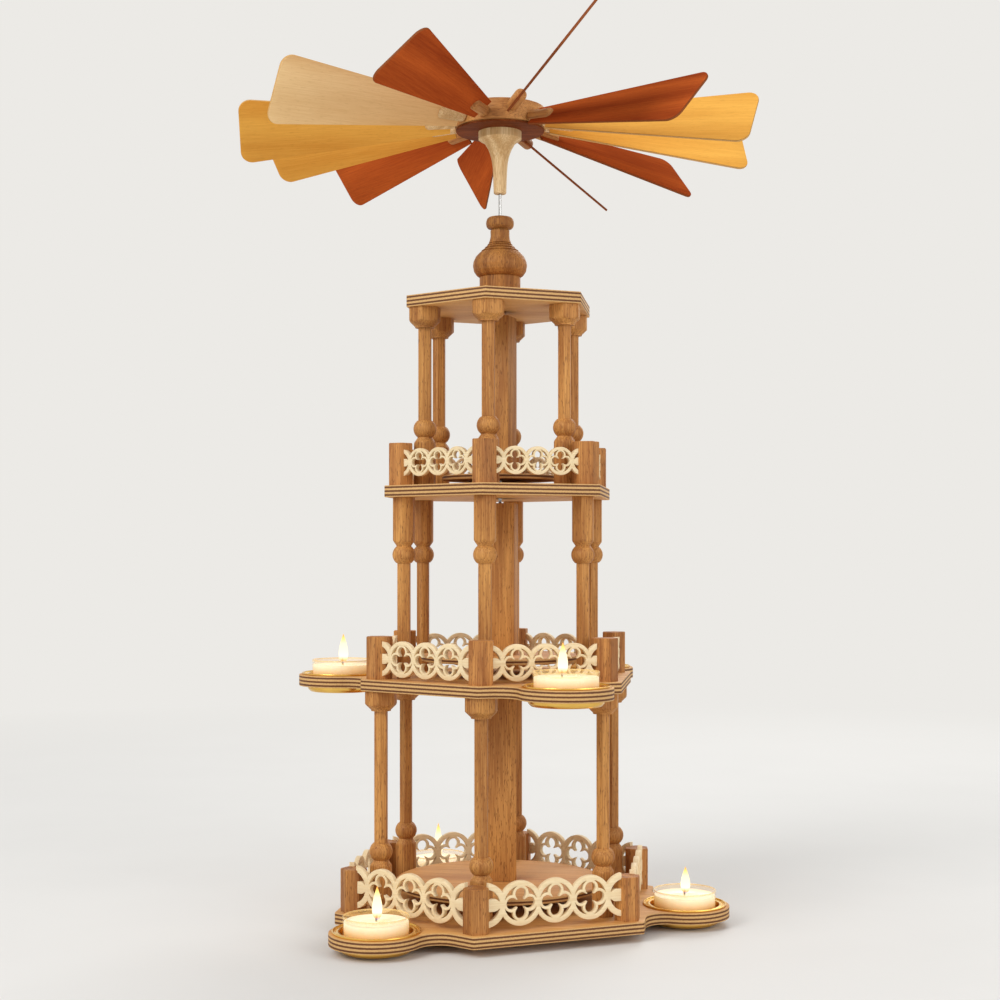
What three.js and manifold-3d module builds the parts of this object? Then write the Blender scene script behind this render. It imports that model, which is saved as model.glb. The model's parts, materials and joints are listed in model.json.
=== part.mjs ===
// A three-tier candle pyramid, rebuilt in three.js.
// Three open storeys of turned hexagonal columns stand between plywood boards.
// A steel rod runs up the middle on a step bearing, carries a round turntable with a square bar
// in each storey, and ends in a hub with twelve pitched wings. Tealights on the arms of the two
// lower boards drive the wings.
// Units are millimetres, +Z is up. The origin is on the rod's axis, at the underside of the feet.
// Corner 0 of every board points to -Y, and the other corners follow anticlockwise.

import * as THREE from 'three';
import { mergeVertices } from 'three/addons/utils/BufferGeometryUtils.js';
import Module from 'manifold-3d';

const wasm = await Module();
wasm.setup();

// driving dimensions

const gap = 0.3; // clearance between a loose piece and its seat

const boardThickness = 7;
const boardRadius = [106, 90, 75, 61]; // axis to corner: base, middle, upper, roof
const storeyHeight = [131, 109, 108]; // clear height between the boards
const armNormals = [[-30, 90, 210], [-90, 30, 150], [], []]; // sides that carry a candle arm
const armReach = 21.5; // board side to the centre of the candle
const armRadius = 27;
const armFillet = 13;

const footHeight = 5;
const footRadius = 7;
const footCircle = 68; // axis to foot centre

const columnCircle = [77, 62.5, 49.1]; // axis to column centre
const blockRadius = 7.1; // hexagonal block, centre to edge
const blockHeight = 25.5;
const taperHeight = 3.5;
const ballNeckRadius = 4.6;
const ballHeight = 10.4;
const shaftRadius = 4.3;
const capitalRadius = 10.2;
const capitalHeight = 7.5;
const capitalTaper = 4.7;
const capitalNeckRadius = 5.9;

const postCircle = [94, 78, 64.6]; // axis to gallery post
const postRadius = 8.1;
// The posts were glued in by eye: degrees that each is turned from corner outwards, by tier.
const postTurn = [[-8, -2, 6, -5, 4, 34], [6, -26, 3, -4, 8, -5], [8, -24, 2, 5, -6, 12]];
const postHeight = 25.5;
const ringRadius = [13, 10.75, 8.3]; // one ring of the gallery tracery
const ringPitch = [21.4, 18, 14.4];
const ringCentreHeight = [15.2, 12.4, 13.5]; // above the board
const fullRings = 3; // whole rings in one panel, with a cut one at each end
const panelThickness = 3;
const panelOffset = 2.5; // outwards from the line through the posts' centres
const lobeOffset = 0.39; // quatrefoil lobe, as parts of its ring's radius
const lobeRadius = 0.28;

const insertHoleRadius = 21.8;
const insertWallRadius = 21.5;
const insertSheet = 0.8;
const insertFlangeRadius = 25.2;
const insertDrop = 3.6; // how far the bowl hangs under the arm
const bowlCorner = 2; // slope between the bowl's wall and its floor

const cupRadius = 19;
const cupHeight = 18.6;
const cupWall = 0.7;
const waxBelowRim = 3.4;
const wickRadius = 0.9;
const wickHeight = 7;

const rodRadius = 1;
const rodPoint = 2.5; // length of the pointed end
const bearingRadius = 5;
const bearingCup = 3.2; // depth of the hollow that holds the point
const boardBore = 4;
const barWidth = [20, 20, 16];
const barTurn = [8, 0, -12]; // degrees at rest
const barTopGap = 3; // to the board above
const discRadius = [64, 48.5, 35.5];
const discThickness = [3.5, 3.5, 3];
const discLift = [9, 9.3, 4]; // board to the disc's underside

const finialBore = 1.6;
// Turned outlines, each point a radius and a height.
const finialOutline = [
  [12.6, 0], [12.6, 14.6], [14.3, 15.4], [16.1, 18.7], [16.7, 22], [15.5, 25.4], [12.6, 29.6],
  [8.2, 33.3], [6.4, 36], [5.8, 39.5], [5.8, 43.8], [7.6, 44.5], [8.5, 46.8], [8.4, 49.6], [6.6, 52],
];
const hubConeOutline = [
  [3.9, 0], [4.7, 19.5], [6.1, 24], [8.1, 29.3], [9.9, 31.8], [12.7, 33.2], [13.3, 34.2], [13.3, 38.2],
];

const bareRod = 14; // finial to hub cone
const hubRadius = 27.7;
const hubThickness = 14.3;
const hubRodDepth = 9;

const wingCount = 12;
const wingTurn = 18; // degrees from -Y to the first wing at rest
// The wings were set by hand. One number for each wing, in degrees:
const wingOffset = [6, 0, -2.5, 0, -1, 3, -2.5, -3.5, -0.5, 2.5, -1, 2]; // from even spacing
const wingSag = [-5.5, 1, 2.5, 5, 3, 4, 2, 5.5, 5, 3, 4.5, 6]; // slope of the peg below level
const wingPitch = [52, 38, 56, 50, 46, 55, 61, 41, 48, 55, 56, 49]; // blade from level
const wingInner = 31; // axis to the blade's inner edge
const wingOuter = 159.5;
const wingInnerChord = 14;
const wingOuterChord = 42;
const wingCorner = 7;
const wingThickness = 1.5;
const pegRadius = 3.7;
const pegEnd = 47; // axis to the peg's outer end
const tenonRadius = 2.4;
const tenonDepth = 10;
const shoulderGap = 0.8; // hub side to the shoulder of a sloping peg

// levels worked out from them

const degrees = Math.PI / 180;
const boardBottom = [footHeight];
for (const clear of storeyHeight) {
  boardBottom.push(boardBottom.at(-1) + boardThickness + clear);
}
const boardTop = boardBottom.map((z) => z + boardThickness);
const discBottom = discLift.map((lift, tier) => boardTop[tier] + lift);
const discTop = discBottom.map((z, tier) => z + discThickness[tier]);
const finialTop = boardTop.at(-1) + finialOutline.at(-1)[1];
const hubConeBottom = finialTop + bareRod;
const hubBottom = hubConeBottom + hubConeOutline.at(-1)[1];
const wheelHeight = hubBottom + hubThickness / 2; // the pegs' level
const fixedBore = rodRadius + gap; // bore of what is fixed to the rod
const tenonBore = tenonRadius + gap;
const storeyNames = ['lower', 'middle', 'upper'];
const boardNames = ['base', 'middle', 'upper', 'roof'];

// materials

function wood(color, roughness = 0.6) {
  return new THREE.MeshStandardMaterial({ color, roughness, metalness: 0 });
}

const plywood = wood(0xc9995f);
const beech = wood(0xb98552);
const paleWood = wood(0xe3c898);
const hubWood = wood(0xa8734a);
const wingWood = wood(0xc98d52, 0.65);
const brass = new THREE.MeshStandardMaterial({ color: 0xc9a24b, roughness: 0.3, metalness: 1 });
const steel = new THREE.MeshStandardMaterial({ color: 0xc8ccd0, roughness: 0.25, metalness: 1 });
const wax = new THREE.MeshStandardMaterial({ color: 0xf6efe0, roughness: 0.45, metalness: 0 });

// solids

function solidOf(geometry) {
  const bare = geometry.clone();
  bare.deleteAttribute('normal');
  bare.deleteAttribute('uv');
  const merged = mergeVertices(bare, 1e-4);
  return new wasm.Manifold(new wasm.Mesh({
    numProp: 3,
    vertProperties: new Float32Array(merged.attributes.position.array),
    triVerts: new Uint32Array(merged.index.array),
  }));
}

function geometryOf(solid) {
  const mesh = solid.getMesh();
  const geometry = new THREE.BufferGeometry();
  geometry.setAttribute('position', new THREE.BufferAttribute(new Float32Array(mesh.vertProperties), 3));
  geometry.setIndex(new THREE.BufferAttribute(new Uint32Array(mesh.triVerts), 1));
  geometry.computeVertexNormals();
  return geometry;
}

function extrudeUp(shape, height) {
  return new THREE.ExtrudeGeometry(shape, { depth: height, bevelEnabled: false, curveSegments: 16 });
}

function turnedSolid(profile, segments) {
  const points = profile.map(([radius, z]) => new THREE.Vector2(radius, z));
  return new THREE.LatheGeometry(points, segments).rotateX(Math.PI / 2);
}

function disc(radius, height, segments) {
  return new THREE.CylinderGeometry(radius, radius, height, segments)
    .rotateX(Math.PI / 2)
    .translate(0, 0, height / 2);
}

function circlePath(x, y, radius, segments) {
  const points = [];
  for (let i = 0; i < segments; i += 1) {
    const angle = (i / segments) * 2 * Math.PI;
    points.push(new THREE.Vector2(x + radius * Math.cos(angle), y + radius * Math.sin(angle)));
  }
  return new THREE.Path(points);
}

// A point at a distance from the axis, at an angle in degrees that starts at -Y and runs to +X.
function polar(radius, angle) {
  const turn = angle * degrees;
  return new THREE.Vector2(radius * Math.sin(turn), -radius * Math.cos(turn));
}

// A group whose own -Y points outwards at the given angle, standing at radius and height.
function station(radius, angle, height) {
  const group = new THREE.Group();
  const place = polar(radius, angle);
  group.position.set(place.x, place.y, height);
  group.rotation.z = angle * degrees;
  return group;
}

const pyramid = new THREE.Group();

function addMesh(name, geometry, material, parent = pyramid) {
  const mesh = new THREE.Mesh(geometry, material.clone());
  mesh.name = name;
  parent.add(mesh);
  return mesh;
}

// boards

// The outline of one candle arm, along the side (u) and outwards from it (v).
function armOutline() {
  const spread = Math.sqrt((armRadius + armFillet) ** 2 - (armReach - armFillet) ** 2);
  const meet = Math.atan2(armReach - armFillet, spread);
  const filletSteps = 4;
  const roundSteps = 12;
  const points = [];
  for (let i = 0; i <= filletSteps; i += 1) {
    const angle = -Math.PI / 2 + (i / filletSteps) * (meet + Math.PI / 2);
    points.push([-spread + armFillet * Math.cos(angle), armFillet + armFillet * Math.sin(angle)]);
  }
  for (let i = 1; i < roundSteps; i += 1) {
    const angle = Math.PI + meet - (i / roundSteps) * (Math.PI + 2 * meet);
    points.push([armRadius * Math.cos(angle), armReach + armRadius * Math.sin(angle)]);
  }
  for (let i = filletSteps; i >= 0; i -= 1) {
    const [u, v] = points[i];
    points.push([-u, v]);
  }
  return points;
}

function boardShape(level) {
  const outline = [];
  const apothem = boardRadius[level] * Math.cos(30 * degrees);
  for (let corner = 0; corner < 6; corner += 1) {
    outline.push(polar(boardRadius[level], corner * 60));
    const normal = corner * 60 + 30;
    if (armNormals[level].some((angle) => (angle - normal) % 360 === 0)) {
      const outward = polar(1, normal);
      const along = new THREE.Vector2(-outward.y, outward.x);
      for (const [u, v] of armOutline()) {
        outline.push(outward.clone().multiplyScalar(apothem + v).addScaledVector(along, u));
      }
    }
  }
  return new THREE.Shape(outline);
}

function candlePlace(level, normal) {
  return polar(boardRadius[level] * Math.cos(30 * degrees) + armReach, normal);
}

function makeBoard(level) {
  const shape = boardShape(level);
  for (const normal of armNormals[level]) {
    const place = candlePlace(level, normal);
    shape.holes.push(circlePath(place.x, place.y, insertHoleRadius, 16));
  }
  const centreHole = level === 0 ? bearingRadius + gap : boardBore;
  shape.holes.push(circlePath(0, 0, centreHole, 12));
  const board = extrudeUp(shape, boardThickness).translate(0, 0, boardBottom[level]);
  if (level > 0) {
    return board;
  }
  let solid = solidOf(board);
  for (let foot = 0; foot < 6; foot += 1) {
    const place = polar(footCircle, foot * 60);
    solid = solid.add(solidOf(disc(footRadius, footHeight + 1, 12).translate(place.x, place.y, 0)));
  }
  return geometryOf(solid);
}

boardNames.forEach((name, level) => {
  addMesh(`${name}_board`, makeBoard(level), plywood);
});

// columns

// A solid through a stack of outlines, each [height, radius, 'hex' or 'round'].
function stacked(levels) {
  const around = 12;
  const positions = [];
  for (const [z, radius, form] of levels) {
    for (let i = 0; i < around; i += 1) {
      const onFlat = form === 'hex' && i % 2 === 1;
      const reach = onFlat ? radius * Math.cos(30 * degrees) : radius;
      const point = polar(reach, i * 30);
      positions.push(point.x, point.y, z);
    }
  }
  const index = [];
  for (let level = 0; level + 1 < levels.length; level += 1) {
    for (let i = 0; i < around; i += 1) {
      const a = level * around + i;
      const b = level * around + ((i + 1) % around);
      index.push(a, b, b + around, a, b + around, a + around);
    }
  }
  const last = (levels.length - 1) * around;
  for (let i = 1; i + 1 < around; i += 1) {
    index.push(0, i + 1, i, last, last + i, last + i + 1);
  }
  const geometry = new THREE.BufferGeometry();
  geometry.setAttribute('position', new THREE.Float32BufferAttribute(positions, 3));
  geometry.setIndex(index);
  geometry.computeVertexNormals();
  return geometry;
}

function blockAndBall() {
  const ballBottom = blockHeight + taperHeight;
  const ballRadius = Math.hypot(ballHeight / 2, ballNeckRadius);
  const levels = [[0, blockRadius, 'hex'], [blockHeight, blockRadius, 'hex']];
  for (const share of [-1, -0.4, 0.4, 1]) {
    const rise = (share * ballHeight) / 2;
    const radius = Math.sqrt(ballRadius ** 2 - rise ** 2);
    levels.push([ballBottom + ballHeight / 2 + rise, radius, 'round']);
  }
  levels.push([ballBottom + ballHeight, shaftRadius, 'hex']);
  return levels;
}

// The block and ball stand on the board, and a capital carries the board above.
function standingColumn(height) {
  const taperTop = height - capitalHeight;
  const taperBottom = taperTop - capitalTaper;
  return [
    ...blockAndBall(),
    [taperBottom, shaftRadius, 'hex'],
    [taperBottom, capitalNeckRadius, 'hex'],
    [taperTop, capitalRadius, 'hex'],
    [height, capitalRadius, 'hex'],
  ];
}

// The same bar turned over: the block hangs under the board above and the shaft is the foot.
function hangingColumn(height) {
  const upright = blockAndBall().reverse().map(([z, radius, form]) => [height - z, radius, form]);
  return [[0, shaftRadius, 'hex'], ...upright];
}

storeyNames.forEach((name, tier) => {
  const levels = tier === 1 ? hangingColumn(storeyHeight[tier]) : standingColumn(storeyHeight[tier]);
  for (let corner = 0; corner < 6; corner += 1) {
    const place = station(columnCircle[tier], corner * 60, boardTop[tier]);
    pyramid.add(place);
    addMesh(`${name}_column_${corner + 1}`, stacked(levels), beech, place);
  }
});

// galleries

function quatrefoil(x, radius) {
  const reach = lobeOffset * radius;
  const lobe = lobeRadius * radius;
  const cusp = (reach + Math.sqrt(2 * lobe ** 2 - reach ** 2)) / 2;
  const points = [];
  for (let quarter = 0; quarter < 4; quarter += 1) {
    for (const point of [[cusp, -cusp], [reach + lobe, 0]]) {
      const turned = new THREE.Vector2(...point).rotateAround(new THREE.Vector2(), quarter * 90 * degrees);
      points.push(new THREE.Vector2(x + turned.x, turned.y));
    }
  }
  return new THREE.Path(points);
}

// The outline of a row of overlapping rings, cut off at both ends between the posts.
function tracery(radius, pitch, length) {
  const valley = Math.acos(pitch / 2 / radius); // angle where two rings meet
  const steps = 3;
  const upper = [];
  const cut = length / 2 - ((fullRings + 1) / 2) * pitch;
  upper.push([-length / 2, Math.sqrt(radius ** 2 - cut ** 2)]);
  for (let ring = 0; ring < fullRings; ring += 1) {
    const centre = (ring - (fullRings - 1) / 2) * pitch;
    for (let i = ring === 0 ? 0 : 1; i <= steps; i += 1) {
      const angle = Math.PI - valley - (i / steps) * (Math.PI - 2 * valley);
      upper.push([centre + radius * Math.cos(angle), radius * Math.sin(angle)]);
    }
  }
  upper.push([length / 2, upper[0][1]]);
  const lower = upper.map(([x, y]) => [x, -y]).reverse();
  const shape = new THREE.Shape([...upper, ...lower].map(([x, y]) => new THREE.Vector2(x, y)));
  for (let ring = 0; ring < fullRings; ring += 1) {
    shape.holes.push(quatrefoil((ring - (fullRings - 1) / 2) * pitch, radius));
  }
  return shape;
}

// One panel of ring tracery, standing along X with its middle at the origin.
function makePanel(tier, length) {
  return extrudeUp(tracery(ringRadius[tier], ringPitch[tier], length), panelThickness)
    .translate(0, 0, -panelThickness / 2)
    .rotateX(Math.PI / 2);
}

function makeGallery(tier) {
  const side = postCircle[tier]; // the side of a hexagon equals its corner radius
  const apothem = side * Math.cos(30 * degrees);
  const panel = makePanel(tier, side - postRadius);
  const post = stacked([[0, postRadius, 'hex'], [postHeight, postRadius, 'hex']]);
  let solid = null;
  for (let corner = 0; corner < 6; corner += 1) {
    const place = polar(side, corner * 60);
    const middle = polar(apothem + panelOffset, corner * 60 + 30);
    const standing = post.clone()
      .rotateZ((corner * 60 + postTurn[tier][corner]) * degrees)
      .translate(place.x, place.y, boardTop[tier]);
    const between = panel.clone()
      .rotateZ((corner * 60 + 30) * degrees)
      .translate(middle.x, middle.y, boardTop[tier] + ringCentreHeight[tier]);
    const pair = solidOf(standing).add(solidOf(between));
    solid = solid ? solid.add(pair) : pair;
  }
  return geometryOf(solid);
}

storeyNames.forEach((name, tier) => {
  addMesh(`${name}_gallery`, makeGallery(tier), paleWood);
});

// candle places: brass inserts and tealights

const bowlFloor = insertSheet - insertDrop; // inside floor, from the arm's underside

function makeInsert() {
  const rim = boardThickness + insertSheet;
  const inner = insertWallRadius - insertSheet;
  return turnedSolid([
    [0, -insertDrop],
    [insertWallRadius - bowlCorner, -insertDrop],
    [insertWallRadius, bowlCorner - insertDrop],
    [insertWallRadius, boardThickness],
    [insertFlangeRadius, boardThickness],
    [insertFlangeRadius, rim],
    [inner, rim],
    [inner, bowlFloor],
    [0, bowlFloor],
  ], 16);
}

function makeTealight() {
  const waxTop = cupHeight - waxBelowRim;
  return turnedSolid([
    [0, 0],
    [cupRadius - 1, 0],
    [cupRadius, 1],
    [cupRadius, cupHeight],
    [cupRadius - cupWall, cupHeight],
    [cupRadius - cupWall, waxTop],
    [wickRadius, waxTop],
    [wickRadius, waxTop + wickHeight],
    [0, waxTop + wickHeight],
  ], 16);
}

for (const level of [0, 1]) {
  armNormals[level].forEach((normal, i) => {
    const place = candlePlace(level, normal);
    const insert = addMesh(`${boardNames[level]}_insert_${i + 1}`, makeInsert(), brass);
    insert.position.set(place.x, place.y, boardBottom[level]);
    const tealight = addMesh(`${boardNames[level]}_tealight_${i + 1}`, makeTealight(), wax);
    tealight.position.set(place.x, place.y, boardBottom[level] + bowlFloor + gap);
  });
}

// step bearing and finial

function makeBearing() {
  return turnedSolid([
    [0, 0],
    [bearingRadius, 0],
    [bearingRadius, boardThickness],
    [bearingCup, boardThickness],
    [0, boardThickness - bearingCup],
  ], 12);
}

// A turned outline round a bore that runs right through it.
function boredSolid(bore, outline) {
  const top = outline.at(-1)[1];
  return turnedSolid([[bore, 0], ...outline, [bore, top], [bore, 0]], 16);
}

addMesh('step_bearing', makeBearing(), brass).position.z = boardBottom[0];
addMesh('finial', boredSolid(finialBore, finialOutline), beech).position.z = boardTop[3];

// the turning shaft: rod, turntables and bars

function makeRod() {
  const foot = boardTop[0] - bearingCup + gap;
  const top = hubBottom + hubRodDepth;
  return turnedSolid([
    [0, foot],
    [rodRadius, foot + rodPoint],
    [rodRadius, top],
    [0, top],
  ], 10);
}

// The stage for the figures is the ring of the top face that lies outside the bar's corners.
function makeTurntable(tier) {
  const stageInner = barWidth[tier] * Math.SQRT1_2 + gap;
  return turnedSolid([
    [fixedBore, 0],
    [discRadius[tier], 0],
    [discRadius[tier], discThickness[tier]],
    [stageInner, discThickness[tier]],
    [fixedBore, discThickness[tier]],
    [fixedBore, 0],
  ], 36);
}

function makeBar(tier) {
  const half = barWidth[tier] / 2;
  const square = [[-half, -half], [half, -half], [half, half], [-half, half]];
  const shape = new THREE.Shape(square.map(([x, y]) => new THREE.Vector2(x, y)));
  shape.holes.push(circlePath(0, 0, fixedBore, 8));
  return extrudeUp(shape, boardBottom[tier + 1] - barTopGap - discTop[tier]);
}

addMesh('rotor_rod', makeRod(), steel);
storeyNames.forEach((name, tier) => {
  addMesh(`${name}_turntable`, makeTurntable(tier), plywood).position.z = discBottom[tier];
  const bar = addMesh(`${name}_bar`, makeBar(tier), beech);
  bar.position.z = discTop[tier];
  bar.rotation.z = barTurn[tier] * degrees;
});

// the wheel: hub cone, hub disc and wings

// A group at the wheel's centre whose own X runs out along one wing's peg.
function wingPlace(wing) {
  const turned = new THREE.Group();
  turned.position.z = wheelHeight;
  turned.rotation.z = (wingTurn - (wing * 360) / wingCount + wingOffset[wing] - 90) * degrees;
  const sloped = new THREE.Group();
  sloped.rotation.y = wingSag[wing] * degrees;
  turned.add(sloped);
  return { turned, sloped };
}

function makeHubDisc() {
  let solid = solidOf(turnedSolid([
    [0, hubRodDepth + gap],
    [fixedBore, hubRodDepth + gap],
    [fixedBore, 0],
    [hubRadius, 0],
    [hubRadius, hubThickness],
    [0, hubThickness],
  ], 36).translate(0, 0, hubBottom));
  const drill = new THREE.CylinderGeometry(tenonBore, tenonBore, 2 * tenonDepth, 8)
    .rotateZ(Math.PI / 2)
    .translate(hubRadius, 0, 0);
  for (let wing = 0; wing < wingCount; wing += 1) {
    const { turned, sloped } = wingPlace(wing);
    turned.updateMatrixWorld(true);
    solid = solid.subtract(solidOf(drill.clone().applyMatrix4(sloped.matrixWorld)));
  }
  return geometryOf(solid);
}

// The blade lies in the slot of its peg, and the two are glued into one wing.
function makeWing() {
  const inner = wingInnerChord / 2;
  const outer = wingOuterChord / 2;
  const cornerSteps = 3;
  const flare = Math.atan2(outer - inner, wingOuter - wingInner);
  const outline = [new THREE.Vector2(wingInner, -inner)];
  for (const side of [-1, 1]) {
    const round = [];
    const centreX = wingOuter - wingCorner;
    const centreY = outer - wingCorner * Math.tan((Math.PI / 2 + flare) / 2);
    for (let i = 0; i <= cornerSteps; i += 1) {
      const angle = (i / cornerSteps) * (Math.PI / 2 + flare);
      round.push(new THREE.Vector2(centreX + wingCorner * Math.cos(angle),
        side * (centreY + wingCorner * Math.sin(angle))));
    }
    outline.push(...(side < 0 ? round.reverse() : round));
  }
  outline.push(new THREE.Vector2(wingInner, inner));
  const blade = extrudeUp(new THREE.Shape(outline), wingThickness).translate(0, 0, -wingThickness / 2);
  const shoulder = hubRadius + shoulderGap;
  const peg = turnedSolid([
    [0, hubRadius - tenonDepth + gap],
    [tenonRadius, hubRadius - tenonDepth + gap],
    [tenonRadius, shoulder],
    [pegRadius, shoulder],
    [pegRadius, pegEnd - 2],
    [pegRadius - 1.6, pegEnd],
    [0, pegEnd],
  ], 8).rotateY(Math.PI / 2);
  return geometryOf(solidOf(blade).add(solidOf(peg)));
}

addMesh('hub_cone', boredSolid(fixedBore, hubConeOutline), paleWood).position.z = hubConeBottom;
addMesh('hub_disc', makeHubDisc(), hubWood);
for (let wing = 0; wing < wingCount; wing += 1) {
  const { turned, sloped } = wingPlace(wing);
  pyramid.add(turned);
  const name = `wing_${String(wing + 1).padStart(2, '0')}`;
  addMesh(name, makeWing(), wingWood, sloped).rotation.x = wingPitch[wing] * degrees;
}

export default pyramid;
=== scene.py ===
"""A three-tier candle pyramid of turned wood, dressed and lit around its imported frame.

Lengths are in metres, +Z is up, and the rotor turns about the Z axis. Corner 0 of every board points
to -Y, and the other corners follow anticlockwise.
"""

import json
import math

import bmesh
import bpy
from mathutils import Matrix, Vector


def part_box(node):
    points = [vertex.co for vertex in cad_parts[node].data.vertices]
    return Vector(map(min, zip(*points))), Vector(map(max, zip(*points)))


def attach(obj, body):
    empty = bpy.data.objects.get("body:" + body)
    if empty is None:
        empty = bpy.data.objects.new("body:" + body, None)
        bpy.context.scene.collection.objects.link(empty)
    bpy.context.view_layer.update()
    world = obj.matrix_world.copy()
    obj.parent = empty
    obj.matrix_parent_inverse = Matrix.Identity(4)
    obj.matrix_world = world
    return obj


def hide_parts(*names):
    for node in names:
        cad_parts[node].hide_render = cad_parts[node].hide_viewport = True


MM = 0.001
# A radius that counts as none
ON_AXIS = 1e-7
STOREYS = ("lower", "middle", "upper")
BOARDS = ("base", "middle", "upper", "roof")
CORNERS = range(6)
# The angle that one side of a hexagon takes up
SIDE = math.radians(60)

# Boards
BOARD_THICKNESS = 7 * MM
BOARD_RADIUS = [r * MM for r in (106, 90, 75, 61)]
BOARD_PLIES = 7
BOARD_BORE = 4 * MM
BOARD_EDGE = 0.35 * MM
# The share of each outer ply that sanding has taken off
SANDED_AWAY = 0.45
# A corner is eased over this length, or over this share of the side where that is less
CORNER_EASE = 1 * MM
CORNER_SHARE = 0.01
FOOT_RADIUS = 7 * MM
FOOT_HEIGHT = 5 * MM
FOOT_CIRCLE = 68 * MM
FOOT_EDGE = 0.6 * MM
BEARING_HOLE = 5.3 * MM

# Candle arms; a side's normal is in degrees from -Y towards +X
ARM_NORMALS = ((-30, 90, 210), (-90, 30, 150), (), ())
ARM_REACH = 21.5 * MM
ARM_RADIUS = 27 * MM
ARM_FILLET = 13 * MM
INSERT_HOLE = 21.8 * MM

# Columns, in the order in which they are turned from the block end
ARRIS = 0.3 * MM
# The share of a hexagonal bar's radius that its eased corners reach
HEX_CORNER = 0.985
BLOCK_RADIUS = 7.1 * MM
BLOCK_HEIGHT = 25.5 * MM
BLOCK_TAPER = 3.5 * MM
BALL_NECK = 4.6 * MM
NECK_HEIGHT = 0.5 * MM
NECK_GROOVE = 0.2 * MM
BALL_LIFT = 0.4 * MM
BALL_HEIGHT = 10.4 * MM
BALL_FLATNESS = 0.96
SHAFT_RADIUS = 4.3 * MM
CAPITAL_RADIUS = 10.2 * MM
CAPITAL_HEIGHT = 7.5 * MM
CAPITAL_TAPER = 4.7 * MM
CAPITAL_NECK = 5.9 * MM
CAPITAL_BAND = 0.6 * MM
# A step so short that it shows as a crease, and a radius that limits nothing
CREASE = 0.05 * MM
NO_LIMIT = 1.0

# Galleries
POST_RADIUS = 8.1 * MM
POST_HEIGHT = 25.5 * MM
POST_ARRIS = 0.4 * MM
POST_CIRCLE = [c * MM for c in (94, 78, 64.6)]
# Degrees that each post is turned from corner outwards, by storey: they were glued in by eye
POST_TURN = ((-8, -2, 6, -5, 4, 34), (6, -26, 3, -4, 8, -5), (8, -24, 2, 5, -6, 12))
PANEL_END = 5.6 * MM
PANEL_THICKNESS = 3 * MM
PANEL_OFFSET = 2.5 * MM
PANEL_EDGE = 0.25 * MM
RING_RADIUS = [r * MM for r in (12.75, 10.75, 8.3)]
RING_PITCH = [p * MM for p in (21.7, 18, 14.4)]
RING_HEIGHT = [h * MM for h in (15.5, 12.4, 13.5)]
WHOLE_RINGS = 3

# Shares of one ring's radius
RING_OPENING = 0.785
LOBE_OFFSET = 0.42
LOBE_RADIUS = 0.262
LOBE_BAND = 0.38
CUSP = 0.16
END_OPENING = 0.72
KNOB_RADIUS = 0.28
KNOB_NECK = 0.15
# Degrees that a spandrel's tips are set back
TIP_BACK = 2

# Brass inserts
INSERT_WALL = 21.5 * MM
INSERT_SHEET = 0.6 * MM
BOWL_DROP = 3.6 * MM
BOWL_ROUND = 1.6 * MM
BOWL_INNER_ROUND = 1.2 * MM
INSERT_EASE = 0.35 * MM
FLANGE_RADIUS = 25.2 * MM
# The flange's rolled lip and groove: mm in from its edge and above the arm
FLANGE_PROFILE = ((0, 0), (0, 1.2), (0.9, 1.2), (1.1, 0.2), (2.1, 0.2), (2.5, 0.6))

# Tealights
CUP_HEIGHT = 18.6 * MM
CUP_WALL = 0.6 * MM
CUP_ROUND = 1.2 * MM
CUP_RIM = 1.4 * MM
CUP_EASE = 0.25 * MM
WAX_BELOW_RIM = 3.4 * MM
WAX_FLOOR = 0.5 * MM
WAX_GAP = 0.05 * MM
WAX_ROUND = 1 * MM
WAX_EASE = 0.6 * MM
# The wax climbs the cup's wall by this height over this width, and the cup's inner wall ends in it
CLIMB_HEIGHT = 0.5 * MM
CLIMB_WIDTH = 0.8 * MM
CUP_IN_WAX = 0.2 * MM
# The melted pool: radius and depth under the wax's top in mm
POOL_PROFILE = ((12, 0.1), (9, 0.5), (2, 0.6), (0.9, 0.3), (0, 0.3))
WICK_RADIUS = 0.6 * MM
WICK_LENGTH = 6.6 * MM
WICK_LEAN = 1.1 * MM
WICK_SUNK = 0.4 * MM
WICK_ASIDE = {"middle_tealight_2": (-2.4 * MM, -0.3 * MM)}
# Radians that the wicks' leans differ from arm to arm and from board to board
ARM_TURN = 1.7
BOARD_TURN = 2.3
FLAME_HEIGHT = 17.4 * MM
FLAME_RADIUS = 2.9 * MM
FLAME_FOOT = 1.2 * MM
FLAME_ASIDE = 0.5 * MM
# How tall each flame burns, by board and arm, as a share of FLAME_HEIGHT
FLAME_SIZE = ((1.1, 0.94, 1.34), (1.06, 1.08, 1.0))

# Finial and bearing
FINIAL_BORE = 1.6 * MM
FINIAL_EASE = 0.3 * MM
BEARING_WALL = 1.6 * MM
BEARING_CUP = 3.2 * MM
BEARING_EASE = 0.3 * MM

# Rotor
ROD_POINT = 2.5 * MM
ROD_BORE = 1.3 * MM
TURNTABLE_THICKNESS = 3.5 * MM
TURNTABLE_PLIES = 3
TURNTABLE_EDGE = 0.4 * MM
BAR_WIDTH = [w * MM for w in (20, 20, 16)]
BAR_TURN = (8, 0, -12)
BAR_EDGE = 0.5 * MM
BAR_END_EDGE = 0.35 * MM
CONE_FOOT = 3.4 * MM
HUB_THICKNESS = 14.3 * MM
HUB_EDGE = 0.66 * MM
HUB_PLATE = 1.3 * MM
HUB_PLATE_RADIUS = 27.2 * MM
HUB_PLATE_EDGE = 0.4 * MM
HUB_GROOVE = 0.35 * MM
HUB_GROOVE_DEPTH = 1.2 * MM

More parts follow.
